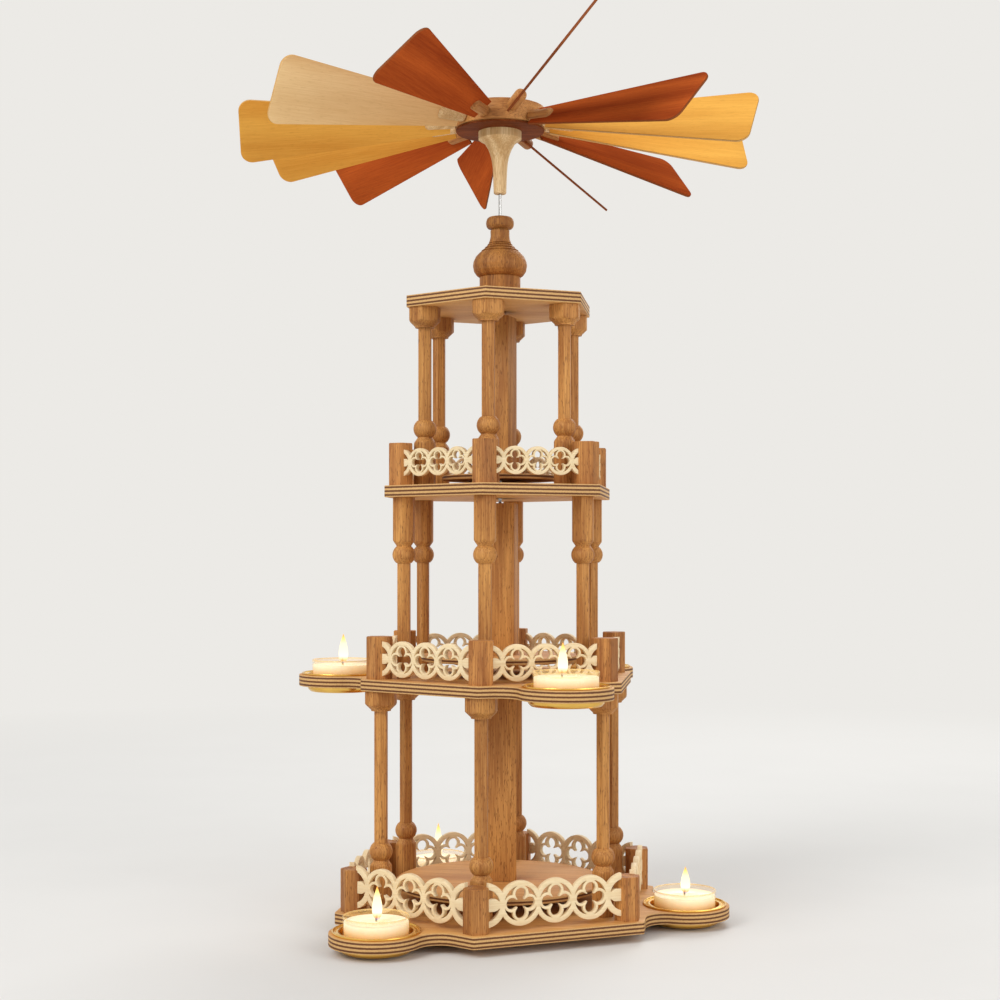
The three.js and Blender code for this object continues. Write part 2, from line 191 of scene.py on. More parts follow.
# Wings
WING_PITCH = [math.radians(a) for a in (52, 38, 56, 50, 46, 55, 61, 41, 48, 55, 56, 49)]
# The blades' colours; 'red' is painted shade: the amber wood as seen from a blade's unlit side
WING_TONES_AND_SHADE = ("red", "red", "pale", "amber", "amber", "red", "red", "red", "red", "amber", "amber", "red")
PEG_WOODS = {"red": "hub", "pale": "pale", "amber": "pale"}
WING_INNER = 31 * MM
WING_OUTER = 159.5 * MM
WING_INNER_CHORD = 14 * MM
WING_OUTER_CHORD = 42 * MM
WING_CORNER = 7 * MM
WING_THICKNESS = 1.5 * MM
WING_PLIES = 3
WING_EDGE = 0.35 * MM
PEG_RADIUS = 3.7 * MM
PEG_SHOULDER = 28.5 * MM
PEG_END = 47 * MM
PEG_END_RADIUS = 2.2 * MM
PEG_TAPER = 1.6 * MM
PEG_ROUND = 0.9 * MM
TENON_RADIUS = 2.4 * MM
TENON_START = 22 * MM

# Camera, solved from the photograph's perspective
CAMERA_TURN = math.radians(8)
CAMERA_DISTANCE = 1.029
CAMERA_HEIGHT = 0.2249
CAMERA_LENS = 60.0
CAMERA_SHIFT = 0.0539

# Studio; each lamp has a place, a size and a power in watts
BACKDROP = (236, 234, 230)
WORLD_LIGHT = 0.62
LAMPS = {
    "key": ((-1.1, -1.5, 1.5), 1.1, 26),
    "fill": ((1.6, -1.1, 0.8), 1.2, 12),
    "back": ((0.4, 1.5, 1.3), 1.0, 14),
}
LAMP_AIM = Vector((0, 0, 0.26))
FLOOR_RADIUS = 12.0
# The distances between which the floor fades into the backdrop
FLOOR_FADE = (0.4, 1.5)


# Outlines

def arc(x, y, radius, start, stop, steps):
    """Points on an arc about (x, y), from one angle in degrees to another, both ends included."""
    angles = (math.radians(start + (stop - start) * i / steps) for i in range(steps + 1))
    return [Vector((x + radius * math.cos(a), y + radius * math.sin(a))) for a in angles]


def circle(radius, count, x=0, y=0):
    return arc(x, y, radius, 0, 360, count)[:-1]


def polar(radius, angle):
    """A point at an angle in degrees that starts at -Y and runs to +X."""
    turn = math.radians(angle)
    return Vector((radius * math.sin(turn), -radius * math.cos(turn)))


def rounded(points, radius, steps=3, closed=False):
    """The same path with its corners eased by a curve that starts a radius away from each."""
    points = [Vector(p) for p in points]
    made = []
    for i, here in enumerate(points):
        if not closed and i in (0, len(points) - 1):
            made.append(here)
            continue
        before = points[i - 1] - here
        after = points[(i + 1) % len(points)] - here
        start = here + before * min(0.5, radius / max(before.length, 1e-9))
        stop = here + after * min(0.5, radius / max(after.length, 1e-9))
        for k in range(steps + 1):
            t = k / steps
            made.append(start * (1 - t) ** 2 + here * 2 * t * (1 - t) + stop * t ** 2)
    return made


def signed_area(loop):
    return sum(a.x * b.y - b.x * a.y for a, b in zip(loop, loop[1:] + loop[:1])) / 2


def wound(loop, hole=False):
    """The loop with the material on its left: outlines run anticlockwise and holes clockwise."""
    return loop[::-1] if (signed_area(loop) < 0) != hole else list(loop)


def inset(loop, amount):
    """The loop moved into the material on its left."""
    moved = []
    for before, here, after in zip(loop[-1:] + loop[:-1], loop, loop[1:] + loop[:1]):
        first = (here - before).normalized()
        second = (after - here).normalized()
        normals = [Vector((-d.y, d.x)) for d in (first, second)]
        mitre = (normals[0] + normals[1]) / max(1 + normals[0].dot(normals[1]), 0.5)
        moved.append(here + mitre * amount)
    return moved


# Meshes

def skin(bm, rows, closed=False):
    """Smooth faces round the piece from each row of points to the next; a tip is a row of one point."""
    count = max(len(row) for row in rows)
    for row, above in zip(rows, rows[1:] + (rows[:1] if closed else [])):
        for i in range(count):
            j = (i + 1) % count
            corners = [row[i % len(row)], row[j % len(row)], above[j % len(above)], above[i % len(above)]]
            corners = list(dict.fromkeys(corners))
            if len(corners) > 2:
                bm.faces.new(corners).smooth = True


def finished_mesh(name, bm, sharp=38):
    """A mesh from a bmesh, with creases where its faces meet at more than an angle in degrees."""
    bmesh.ops.recalc_face_normals(bm, faces=bm.faces)
    mesh = bpy.data.meshes.new(name)
    bm.to_mesh(mesh)
    bm.free()
    mesh.set_sharp_from_angle(angle=math.radians(sharp))
    return mesh


def sheet_mesh(name, outline, holes, thickness, edge, cut=None):
    """A piece cut from sheet that lies on z = 0, with eased edges; cut trims it at x = -cut and cut."""
    bm = bmesh.new()
    eases = [math.radians(a) for a in (0, 45, 90)]
    lower = [(edge * (1 - math.sin(a)), edge * (1 - math.cos(a))) for a in eases]
    layers = lower + [(depth, thickness - z) for depth, z in reversed(lower)]
    caps = ([], [])
    for loop in [wound(outline)] + [wound(hole, hole=True) for hole in holes]:
        rows = [[bm.verts.new((p.x, p.y, z)) for p in inset(loop, depth)] for depth, z in layers]
        skin(bm, rows)
        for cap, row in zip(caps, (rows[0], rows[-1])):
            cap.extend(bm.edges.get((row[i], row[(i + 1) % len(row)])) for i in range(len(row)))
    for cap in caps:
        bmesh.ops.triangle_fill(bm, use_beauty=True, edges=cap)
    if cut is not None:
        for side in (-1, 1):
            bmesh.ops.bisect_plane(
                bm, geom=bm.verts[:] + bm.edges[:] + bm.faces[:],
                plane_co=(side * cut, 0, 0), plane_no=(side, 0, 0), clear_outer=True)
        bmesh.ops.holes_fill(bm, edges=[e for e in bm.edges if e.is_boundary], sides=0)
    return finished_mesh(name, bm)


def turned_mesh(name, outline, segments, closed=False, along_x=False):
    """A lathe-turned piece about Z, or about the X axis."""
    bm = bmesh.new()
    rows = []
    for radius, z in outline:
        if radius < ON_AXIS:
            rows.append([bm.verts.new((0, 0, z))])
        else:
            angles = (2 * math.pi * i / segments for i in range(segments))
            rows.append([bm.verts.new((radius * math.cos(a), radius * math.sin(a), z)) for a in angles])
    skin(bm, rows, closed)
    if along_x:
        bmesh.ops.rotate(bm, verts=bm.verts, matrix=Matrix.Rotation(math.pi / 2, 3, "Y"))
    return finished_mesh(name, bm, sharp=32)


def hex_reach(angle, radius):
    """How far a hexagon with a slightly eased corner at angle 0 reaches at that angle."""
    across = (angle + SIDE / 2) % SIDE - SIDE / 2
    flat = radius * math.cos(SIDE / 2) / math.cos(SIDE / 2 - abs(across))
    return min(flat, radius * HEX_CORNER)


def hex_bar_mesh(name, levels):
    """A hexagonal bar after turning; each level is (z, hexagon radius, largest turned radius)."""
    steps = 12
    bm = bmesh.new()
    rows = []
    for z, hexagon, turned in levels:
        row = []
        for i in range(len(CORNERS) * steps):
            angle = SIDE * i / steps
            reach = min(hex_reach(angle, hexagon), turned)
            row.append(bm.verts.new((reach * math.sin(angle), -reach * math.cos(angle), z)))
        rows.append(row)
    skin(bm, rows)
    bm.faces.new(rows[0])
    bm.faces.new(rows[-1])
    return finished_mesh(name, bm)


# Placing

def in_scene(name, data):
    made = bpy.data.objects.new(name, data)
    bpy.context.scene.collection.objects.link(made)
    return made


def placed(name, mesh, body, finish, where, node=None):
    """One piece of the object, at its place in the frame, riding on its body."""
    piece = in_scene(name, mesh)
    piece.matrix_world = where
    if not mesh.materials:
        mesh.materials.append(MATERIALS[finish])
    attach(piece, body)
    if node:
        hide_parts(node)


def at(x, y, z):
    return Matrix.Translation((x, y, z))


def spun(angle, axis="Z"):
    """A turn by an angle in radians."""
    return Matrix.Rotation(angle, 4, axis)


def measured(node):
    """A node's half width, its height and the height that it starts at."""
    low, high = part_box(node)
    return (high.x - low.x) / 2, high.z - low.z, low.z


def station(radius, angle, z):
    """A place at a distance from the axis, turned so that its own -Y points outwards."""
    return at(*polar(radius, angle), z) @ spun(math.radians(angle))


# Shader nodes

def feed(tree, node, inputs):
    """Gives each named input its value, or the socket that feeds it."""
    for key, value in inputs.items():
        if isinstance(value, bpy.types.NodeSocket):
            tree.links.new(value, node.inputs[key])
        else:
            node.inputs[key].default_value = value
    return node


def add(tree, kind, inputs=None, **settings):
    made = tree.nodes.new("ShaderNode" + kind)
    for key, value in settings.items():
        setattr(made, key, value)
    return feed(tree, made, inputs or {})


def math_node(tree, operation, first, second=0.0, clamp=False):
    return add(tree, "Math", {0: first, 1: second}, operation=operation, use_clamp=clamp).outputs[0]


def mixed(tree, share, first, second, blend="MIX"):
    """A colour mix; the node's colours go in at sockets 6 and 7 and come out at socket 2."""
    inputs = {"Factor": share, 6: first, 7: second}
    return add(tree, "Mix", inputs, data_type="RGBA", blend_type=blend).outputs[2]


def mapped(tree, value, low, high, first=0.0, last=1.0):
    """The value moved from the range low to high into the range first to last, and held within it."""
    return add(tree, "MapRange", {
        "Value": value, "From Min": low, "From Max": high, "To Min": first, "To Max": last}).outputs[0]


def noise(tree, place, scale, detail):
    return add(tree, "TexNoise", {"Vector": place, "Scale": scale, "Detail": detail}).outputs[0]


def height_of(tree, vector):
    return add(tree, "SeparateXYZ", {0: vector}).outputs["Z"]


def length_of(tree, vector):
    return add(tree, "VectorMath", {0: vector}, operation="LENGTH").outputs["Value"]


def axis_distance(tree, place):
    parts = add(tree, "SeparateXYZ", {0: place}).outputs
    return length_of(tree, add(tree, "CombineXYZ", {"X": parts["X"], "Y": parts["Y"]}).outputs[0])


def new_group(name, inputs, outputs):
    """An empty node group; an input is named with its kind, or with the number that it mostly has."""
    tree = bpy.data.node_groups.new(name, "ShaderNodeTree")
    kinds = {"vector": "NodeSocketVector", "value": "NodeSocketFloat", "colour": "NodeSocketColor"}
    for label, usual in inputs.items():
        kind = usual if usual in kinds else "value"
        socket = tree.interface.new_socket(label, in_out="INPUT", socket_type=kinds[kind])
        if usual != kind:
            socket.default_value = usual
    for label, kind in outputs.items():
        tree.interface.new_socket(label, in_out="OUTPUT", socket_type=kinds[kind])
    return tree, tree.nodes.new("NodeGroupInput").outputs, tree.nodes.new("NodeGroupOutput")


def use_group(tree, name, inputs):
    return add(tree, "Group", inputs, node_tree=GROUPS[name]).outputs


def rgb(red, green, blue):
    """A shader colour from the 0 to 255 values of a display."""
    linear = [((c / 255 + 0.055) / 1.055) ** 2.4 if c > 10 else c / 255 / 12.92 for c in (red, green, blue)]
    return (*linear, 1.0)


def wood_figure():
    """Growth rings, fibres and dark flecks; the grain runs along Z, and lengths are in metres."""
    tree, given, out = new_group("wood_figure", {
        "Place": "vector",
        "Seed": "value",
        "Ring spacing": 4 * MM,
        "Fibre width": 0.7 * MM,
        "Fleck length": 3 * MM,
    }, {"Rings": "value", "Fibres": "value", "Flecks": "value", "Height": "value"})
    apart = {"X": 3.7, "Y": 9.1, "Z": 5.3}
    shift = add(tree, "CombineXYZ", {
        axis: math_node(tree, "MULTIPLY", given["Seed"], amount) for axis, amount in apart.items()})
    place = add(tree, "VectorMath", {0: given["Place"], 1: shift.outputs[0]}, operation="ADD").outputs[0]

    def stretched(along):
        """The place with its way along the grain shortened, which draws a pattern out along it."""
        return add(tree, "VectorMath", {0: place, 1: (1.0, 1.0, along)}, operation="MULTIPLY").outputs[0]

    slow = noise(tree, stretched(0.09), 20.0, 1.5)
    per_ring = math_node(tree, "DIVIDE", 0.05, given["Ring spacing"])
    rings = math_node(tree, "PINGPONG", math_node(tree, "MULTIPLY", slow, per_ring), 0.5)
    fibres = noise(tree, stretched(0.03), math_node(tree, "DIVIDE", 1.0, given["Fibre width"]), 3.0)
    dots = noise(tree, stretched(0.16), math_node(tree, "DIVIDE", 5.0, given["Fleck length"]), 1.0)
    flecks = mapped(tree, dots, 0.60, 0.70)
    height = math_node(tree, "SUBTRACT", fibres, math_node(tree, "MULTIPLY", flecks, 0.4))
    feed(tree, out, {
        "Rings": math_node(tree, "MULTIPLY", rings, 2.0), "Fibres": fibres, "Flecks": flecks,
        "Height": height})
    return tree


def wood_tone():
    """Colour and roughness of wood from its figure."""
    tree, given, out = new_group("wood_tone", {
        "Pale": "colour", "Dark": "colour", "Fleck": "colour",
        "Rings": "value", "Fibres": "value", "Flecks": "value",
        "Ring depth": "value", "Fibre depth": "value", "Fleck depth": "value",
    }, {"Color": "colour", "Roughness": "value"})
    ringed = math_node(tree, "MULTIPLY", given["Rings"], given["Ring depth"])
    streaks = mapped(tree, given["Fibres"], 0.3, 0.7, 0.0, given["Fibre depth"])
    share = math_node(tree, "ADD", ringed, streaks, clamp=True)
    body = mixed(tree, share, given["Pale"], given["Dark"])
    marked = math_node(tree, "MULTIPLY", given["Flecks"], given["Fleck depth"])
    feed(tree, out, {
        "Color": mixed(tree, marked, body, given["Fleck"]),
        "Roughness": mapped(tree, given["Fibres"], 0.3, 0.7, 0.5, 0.7)})
    return tree


def ply_edge():
    """Colour of a board: its face veneer on top and below, and its plies round the edge."""
    tree, given, out = new_group("ply_edge", {
        "Face": "colour", "Light ply": "colour", "Dark ply": "colour",
        "Place": "vector", "Upright": "value",
        "Thickness": "value", "Plies": "value", "Sanded": "value",
    }, {"Color": "colour"})
    share = math_node(tree, "DIVIDE", height_of(tree, given["Place"]), given["Thickness"])
    ragged = noise(tree, given["Place"], 900.0, 2.0)
    wavering = math_node(tree, "MULTIPLY", math_node(tree, "SUBTRACT", ragged, 0.5), 0.04)
    lost = math_node(tree, "MULTIPLY", given["Sanded"], 2.0)
    left = math_node(tree, "SUBTRACT", given["Plies"], lost)
    level = math_node(tree, "MULTIPLY", math_node(tree, "ADD", share, wavering), left)
    ply = math_node(tree, "ADD", level, given["Sanded"])
    from_middle = math_node(tree, "SUBTRACT", math_node(tree, "MODULO", ply, 2.0), 1.5)
    band = mapped(tree, math_node(tree, "ABSOLUTE", from_middle), 0.40, 0.56, 1.0, 0.0)
    speckle = mapped(tree, noise(tree, given["Place"], 2600.0, 2.0), 0.35, 0.65, 0.72, 1.0)
    grey = add(tree, "CombineColor", {0: speckle, 1: speckle, 2: speckle}).outputs[0]
    plies = mixed(tree, band, given["Light ply"], given["Dark ply"])
    plies = mixed(tree, 1.0, plies, grey, blend="MULTIPLY")
    edge = mapped(tree, given["Upright"], 0.72, 0.8, 1.0, 0.0)
    feed(tree, out, {"Color": mixed(tree, edge, given["Face"], plies)})
    return tree


def turned_marks():
    """Fine rings left on metal that was turned about Z."""
    tree, given, out = new_group("turned_marks", {
        "Place": "vector",
        "Spacing": "value",
    }, {"Marks": "value"})
    path = add(tree, "CombineXYZ", {
        "X": math_node(tree, "DIVIDE", axis_distance(tree, given["Place"]), given["Spacing"]),
        "Y": math_node(tree, "DIVIDE", height_of(tree, given["Place"]), given["Spacing"])})
    feed(tree, out, {"Marks": noise(tree, path.outputs[0], 1.0, 2.0)})
    return tree


# Materials; colours are written as the 0 to 255 values of a display

LEVEL_X = (0, math.pi / 2, 0)
BLACK = (0, 0, 0, 1)
PLY_EDGE = ((220, 174, 112), (108, 64, 34))


def new_material(name, settings=None):
    """A material with its tree, its surface shader and the piece's own coordinates."""
    material = bpy.data.materials.new(name)
    material.use_nodes = True
    tree = material.node_tree
    tree.nodes.clear()
    surface = add(tree, "BsdfPrincipled", settings)
    add(tree, "OutputMaterial", {"Surface": surface.outputs[0]})
    return material, tree, surface, add(tree, "TexCoord").outputs["Object"]


def bumped(tree, surface, height, strength, distance):
    bump = add(tree, "Bump", {"Height": height, "Strength": strength, "Distance": distance})
    feed(tree, surface, {"Normal": bump.outputs[0]})


def grained(tree, place, turn, sizes):
    """The wood figure, with its grain along Z once the piece's own coordinates are turned, and its seed."""
    seed = add(tree, "ObjectInfo").outputs["Random"]
    turned = add(tree, "Mapping", {"Vector": place, "Rotation": turn}).outputs[0]
    return use_group(tree, "figure", {"Place": turned, "Seed": seed, **sizes}), seed


def toned(tree, figure, colours, depths):
    """Wood tones from a pale, a dark and a fleck colour, and the depths of rings, fibres and flecks."""
    pale, dark, fleck = colours
    return use_group(tree, "tone", {
        "Pale": rgb(*pale), "Dark": rgb(*dark), "Fleck": rgb(*fleck),
        "Ring depth": depths[0], "Fibre depth": depths[1], "Fleck depth": depths[2],
        "Rings": figure["Rings"], "Fibres": figure["Fibres"], "Flecks": figure["Flecks"]})


def solid_wood(name, colours, depths=(0.55, 0.75, 0.7), turn=(0, 0, 0), varied=0.1, gloss=0.3):
    """Turned or planed solid wood, a little different in tone from piece to piece."""
    material, tree, surface, place = new_material(name, {"Specular IOR Level": gloss})
    figure, seed = grained(tree, place, turn, {})
    tone = toned(tree, figure, colours, depths)
    value = mapped(tree, seed, 0.0, 1.0, 1.0 - varied, 1.0 + varied)
    shade = add(tree, "HueSaturation", {"Color": tone["Color"], "Value": value})
    feed(tree, surface, {"Base Color": shade.outputs[0], "Roughness": tone["Roughness"]})
    bumped(tree, surface, figure["Height"], 0.35, 0.25 * MM)
    return material


def plywood(name, colours, thickness, plies, depths, sizes, sanded=0.0, edge=PLY_EDGE, gloss=0.3):
    """Sheet with plies round its edge; the outer plies have lost the share sanded of their thickness."""
    material, tree, surface, place = new_material(name, {"Specular IOR Level": gloss})
    figure, _ = grained(tree, place, LEVEL_X, sizes)
    tone = toned(tree, figure, colours, depths)
    normal = add(tree, "TexCoord").outputs["Normal"]
    upright = math_node(tree, "ABSOLUTE", height_of(tree, normal))
    edged = use_group(tree, "ply", {
        "Face": tone["Color"], "Place": place, "Upright": upright,
        "Light ply": rgb(*edge[0]), "Dark ply": rgb(*edge[1]),
        "Thickness": thickness, "Plies": plies, "Sanded": sanded})
    feed(tree, surface, {"Base Color": edged["Color"], "Roughness": tone["Roughness"]})
    bumped(tree, surface, figure["Height"], 0.3, 0.2 * MM)
    return material


def board_wood(name, colours, thickness, plies, fibre_width, sanded=0.0):
    """The oiled plywood of a board or a turntable."""
    return plywood(name, colours, thickness, plies, (0.5, 0.7, 0.35),
                   {"Ring spacing": 12 * MM, "Fibre width": fibre_width}, sanded)


def blade_wood(name, colours, edge=PLY_EDGE):
    """The thin matt plywood of a wing."""
    return plywood(name, colours, WING_THICKNESS, WING_PLIES, (0.75, 0.4, 0.15),
                   {"Ring spacing": 11 * MM}, edge=edge, gloss=0.0)


def metal(name, bright, dull, spacing):
    """Metal with fine turning marks, clouded by smudges."""
    material, tree, surface, place = new_material(name, {"Metallic": 1.0})
    marks = use_group(tree, "marks", {"Place": place, "Spacing": spacing})["Marks"]
    smudge = noise(tree, place, 60.0, 3.0)
    cloud = math_node(tree, "MULTIPLY", smudge, marks)
    feed(tree, surface, {
        "Base Color": mixed(tree, smudge, rgb(*bright), rgb(*dull)),
        "Roughness": mapped(tree, cloud, 0.1, 0.4, 0.16, 0.34)})
    bumped(tree, surface, marks, 0.12, 0.05 * MM)
    return material


def clear_cup():
    """Clear moulded plastic, so thin that only its rim and its gloss show."""
    material, tree, surface, place = new_material("clear_cup", {"Base Color": rgb(255, 222, 150)})
    feed(tree, surface, {
        "Alpha": mapped(tree, height_of(tree, place), CUP_HEIGHT - CUP_RIM, CUP_HEIGHT, 0.16, 0.55),
        "Roughness": mapped(tree, noise(tree, place, 300.0, 1.0), 0.0, 1.0, 0.04, 0.12)})
    return material


def candle_wax_painted_glow():
    """White wax with painted glow round the flame, glossy where it has melted: emission near the wick and
    high up, and an amber base colour lower down, paint the flame's light in the wax.
    """
    material, tree, surface, place = new_material("candle_wax_painted_glow", {
        "Emission Strength": 0.6,
        "Subsurface Weight": 0.25,
        "Subsurface Radius": (4 * MM, 2.5 * MM, 1.5 * MM),
        "Subsurface Scale": 1.0,
    })
    radius = axis_distance(tree, place)
    # Painted glow: the flame's light in the wax, strongest near the wick and towards the top
    glow_near_flame = mapped(tree, radius, 1 * MM, 19 * MM, 1.0, 0.4)
    high = mapped(tree, height_of(tree, place), 9 * MM, 14.5 * MM, 0.2, 1.0)
    cloudy = noise(tree, place, 250.0, 3.0)
    white = mixed(tree, cloudy, rgb(253, 247, 232), rgb(246, 234, 208))
    lit = mixed(tree, high, rgb(255, 172, 64), rgb(255, 222, 160))
    feed(tree, surface, {
        # Painted glow: amber base colour lower in the wax, white at the top
        "Base Color": mixed(tree, high, rgb(248, 192, 86), white),
        "Emission Color": mixed(tree, math_node(tree, "MULTIPLY", glow_near_flame, high), BLACK, lit),
        "Roughness": mapped(tree, radius, 6 * MM, 14 * MM, 0.12, 0.5)})
    bumped(tree, surface, cloudy, 0.15, 0.3 * MM)
    return material


def burnt_wick():
    """A wick with a pale foot, charred above it, and an ember at the tip."""
    material, tree, surface, place = new_material("burnt_wick", {
        "Emission Strength": 1.6,
        "Roughness": 0.9,
    })
    height = height_of(tree, place)
    char = mapped(tree, height, 0.0, 2 * MM)
    ember = mapped(tree, height, 5.2 * MM, WICK_LENGTH)
    feed(tree, surface, {
        "Base Color": mixed(tree, char, rgb(226, 210, 176), rgb(26, 20, 17)),
        "Emission Color": mixed(tree, ember, BLACK, rgb(255, 92, 20))})
    bumped(tree, surface, noise(tree, place, 2200.0, 2.0), 0.6, 0.4 * MM)
    return material


def candle_flame():
    """A flame: a nearly clear foot, a white heart and an orange tip."""
    material, tree, surface, place = new_material("candle_flame", {
        "Base Color": BLACK,
        "Roughness": 1.0,
        "Specular IOR Level": 0.0,
        "Emission Strength": 1.5,
    })
    share = math_node(tree, "DIVIDE", height_of(tree, place), FLAME_HEIGHT, clamp=True)
    node = add(tree, "ValToRGB", {"Fac": share})
    ramp = node.color_ramp.elements
    ramp[0].color = rgb(120, 120, 220)
    ramp[1].color = rgb(255, 156, 50)
    between = ((0.1, (255, 190, 100)), (0.24, (255, 246, 214)), (0.68, (255, 240, 190)),
               (0.86, (255, 214, 120)))
    for position, colour in between:
        ramp.new(position).color = rgb(*colour)
    feed(tree, surface, {
        "Emission Color": node.outputs[0],
        "Alpha": mapped(tree, share, 0.0, 0.24, 0.35, 1.0)})
    return material


def make_materials():
    """Every finish by the name that the pieces use; a wood has a pale, a dark and a fleck colour."""
    return {
        "board": board_wood("birch_board", ((224, 172, 102), (190, 132, 72), (154, 100, 54)),
                            BOARD_THICKNESS, BOARD_PLIES, 1.2 * MM, SANDED_AWAY),
        "turntable": board_wood("thin_board", ((218, 162, 92), (182, 122, 64), (146, 92, 48)),
                                TURNTABLE_THICKNESS, TURNTABLE_PLIES, 1 * MM),
        "column": solid_wood("turned_beech", ((208, 150, 80), (154, 98, 46), (110, 64, 30))),
        "post": solid_wood("post_beech", ((202, 142, 76), (146, 90, 44), (102, 60, 28))),
        "bar": solid_wood("bar_beech", ((210, 152, 82), (160, 104, 52), (114, 68, 32))),
        "finial": solid_wood("finial_beech", ((196, 136, 68), (138, 86, 38), (94, 54, 26))),
        "panel": solid_wood("panel_maple", ((240, 221, 182), (218, 190, 142), (190, 154, 106)),
                            depths=(0.25, 0.5, 0.15), turn=LEVEL_X, varied=0.05),
        "pale": solid_wood("pale_maple", ((242, 216, 168), (200, 160, 106), (156, 112, 68)),
                           depths=(0.7, 0.8, 0.4)),
        "hub": solid_wood("hub_beech", ((210, 152, 84), (164, 106, 54), (118, 72, 36)), turn=LEVEL_X),
        "hub_plate": solid_wood("hub_plate_beech", ((146, 76, 34), (104, 50, 22), (70, 34, 16)),
                                turn=LEVEL_X, gloss=0.04),
        "wing_pale": blade_wood("wing_pale", ((242, 208, 154), (218, 174, 118), (180, 130, 78))),
        "wing_amber": blade_wood("wing_amber", ((240, 182, 86), (214, 148, 62), (160, 100, 44))),
        # wing_red paints shade: the amber wing wood, darker and redder as seen from its unlit side, edges
        # too
        "wing_red": blade_wood("wing_red", ((190, 92, 40), (146, 62, 28), (104, 44, 22)),
                               edge=((148, 84, 48), (96, 48, 28))),
        "brass": metal("pressed_brass", (246, 204, 108), (216, 164, 76), 0.5 * MM),
        "steel": metal("drawn_steel", (206, 206, 204), (168, 168, 168), 0.4 * MM),
        "cup": clear_cup(),
        "wax": candle_wax_painted_glow(),
        "wick": burnt_wick(),
        "flame": candle_flame(),
    }


# Boards

def arm_outline():
    """One candle arm, as points along the board's side and outwards from it."""
    spread = math.sqrt((ARM_RADIUS + ARM_FILLET) ** 2 - (ARM_REACH - ARM_FILLET) ** 2)
    meet = math.degrees(math.atan2(ARM_REACH - ARM_FILLET, spread))
    left = arc(-spread, ARM_FILLET, ARM_FILLET, -90, meet, 10)
    crown = arc(0, ARM_REACH, ARM_RADIUS, 180 + meet, -meet, 40)
    right = [Vector((-p.x, p.y)) for p in reversed(left)]
    return left + crown[1:-1] + right


def board_outline(level):
    radius = BOARD_RADIUS[level]
    apothem = radius * math.cos(SIDE / 2)
    ease = min(CORNER_EASE, CORNER_SHARE * radius)
    points = []
    for corner in CORNERS:
        tips = [polar(radius, 60 * (corner + step)) for step in (-1, 0, 1)]
        points.extend(rounded(tips, ease, steps=2)[1:-1])
        normal = corner * 60 + 30
        if any((angle - normal) % 360 == 0 for angle in ARM_NORMALS[level]):
            outward = polar(1, normal)
            along = Vector((-outward.y, outward.x))
            points.extend(outward * (apothem + p.y) + along * p.x for p in arm_outline())
    return points


def candle_spot(level, normal):
    return polar(BOARD_RADIUS[level] * math.cos(SIDE / 2) + ARM_REACH, normal)


def make_boards():
    foot_outline = [(0, 0), (FOOT_RADIUS, 0), (FOOT_RADIUS, FOOT_HEIGHT), (0, FOOT_HEIGHT)]
    foot = turned_mesh("foot", rounded(foot_outline, FOOT_EDGE), 40)
    for level, name in enumerate(BOARDS):
        node = f"{name}_board"
        holes = [circle(BOARD_BORE if level else BEARING_HOLE, 36)]
        holes += [circle(INSERT_HOLE, 72, *candle_spot(level, normal)) for normal in ARM_NORMALS[level]]
        mesh = sheet_mesh(node, board_outline(level), holes, BOARD_THICKNESS, BOARD_EDGE)
        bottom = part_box(node)[1].z - BOARD_THICKNESS
        placed(f"{name}_board_ply", mesh, "frame", "board", at(0, 0, bottom), node)
    for corner in CORNERS:
        where = station(FOOT_CIRCLE, corner * 60, 0)
        placed(f"base_foot_{corner + 1}", foot, "frame", "column", where)


# Columns

def block_and_ball():
    """Levels of the block, its turned shoulder and the ball, from the block's free end."""
    levels = [(0, BLOCK_RADIUS - ARRIS, NO_LIMIT), (ARRIS, BLOCK_RADIUS, NO_LIMIT),
              (BLOCK_HEIGHT, BLOCK_RADIUS, NO_LIMIT)]
    for i in range(1, 9):
        share = i / 8
        shoulder = BLOCK_RADIUS - share * (BLOCK_RADIUS - BALL_NECK)
        levels.append((BLOCK_HEIGHT + share * BLOCK_TAPER, BLOCK_RADIUS, shoulder))
    neck = BLOCK_HEIGHT + BLOCK_TAPER
    levels.append((neck + NECK_HEIGHT, BLOCK_RADIUS, BALL_NECK - NECK_GROOVE))
    ball_middle = neck + BALL_LIFT + BALL_HEIGHT / 2
    ball_radius = math.hypot(BALL_HEIGHT / 2, BALL_NECK)
    for i in range(13):
        rise = (i / 12 - 0.5) * BALL_HEIGHT
        reach = math.sqrt(ball_radius ** 2 - rise ** 2)
        levels.append((ball_middle + rise * BALL_FLATNESS, NO_LIMIT, reach))
    return levels


def standing_levels(height):
    """A column with its block as the foot and a capital at the top."""
    levels = block_and_ball()
    taper = height - CAPITAL_HEIGHT - CAPITAL_TAPER
    band = taper + CAPITAL_BAND
    levels += [
        (levels[-1][0] + CREASE, SHAFT_RADIUS, NO_LIMIT),
        (taper - CREASE, SHAFT_RADIUS, NO_LIMIT),
        (taper, CAPITAL_RADIUS, CAPITAL_NECK),
        (band, CAPITAL_RADIUS, CAPITAL_NECK + CREASE),
    ]
    for i in range(1, 11):
        share = i / 10
        reach = CAPITAL_NECK + share * (CAPITAL_RADIUS - CAPITAL_NECK)
        levels.append((band + share * (CAPITAL_TAPER - CAPITAL_BAND), CAPITAL_RADIUS, reach))
    levels.append((height - ARRIS, CAPITAL_RADIUS, NO_LIMIT))
    levels.append((height, CAPITAL_RADIUS - ARRIS, NO_LIMIT))
    return levels


def hanging_levels(height):
    """The middle storey's column: its block is at the top, and its plain shaft is the foot."""
    upper = [(height - z, hexagon, turned) for z, hexagon, turned in reversed(block_and_ball())]
    return [(0, SHAFT_RADIUS, NO_LIMIT), (upper[0][0] - CREASE, SHAFT_RADIUS, NO_LIMIT)] + upper


